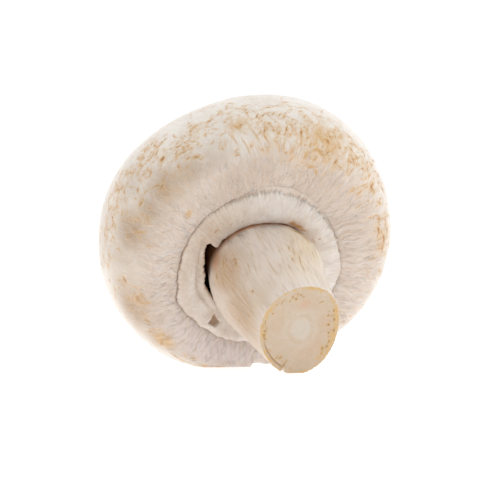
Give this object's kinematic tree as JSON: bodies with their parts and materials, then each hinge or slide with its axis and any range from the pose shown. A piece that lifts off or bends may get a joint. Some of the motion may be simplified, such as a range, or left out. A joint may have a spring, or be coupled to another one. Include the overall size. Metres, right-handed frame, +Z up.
{
  "type": "button mushroom",
  "caption": "Closed-cup white button mushroom lying on its side, with a rounded cap, a veil torn beside the stem, gills inside, and a slanting cut stem.",
  "frame": {"origin": "on the ground, under the middle of the whole mushroom's box as it lies on its side", "axes": "+Z up, away from the surface it lies on; +Y level, from the stem's cut end towards the cap's crown; +X level, across the cap's width, and the veil's torn side faces -X"},
  "size_m": [0.0458, 0.0434, 0.0414],
  "materials": {
    "cap_skin": "matt white skin with fine radial fibres and ochre flecks",
    "gill_flesh": "matt pinkish brown gills",
    "veil_felt": "cottony off-white felt",
    "stem_flesh": "silky cream fibres, with a tan cut face"
  },
  "bodies": {
    "root": {"cap": "cap_skin", "gills": "gill_flesh", "veil": "veil_felt", "stem": "stem_flesh"}
  },
  "joints": []
}
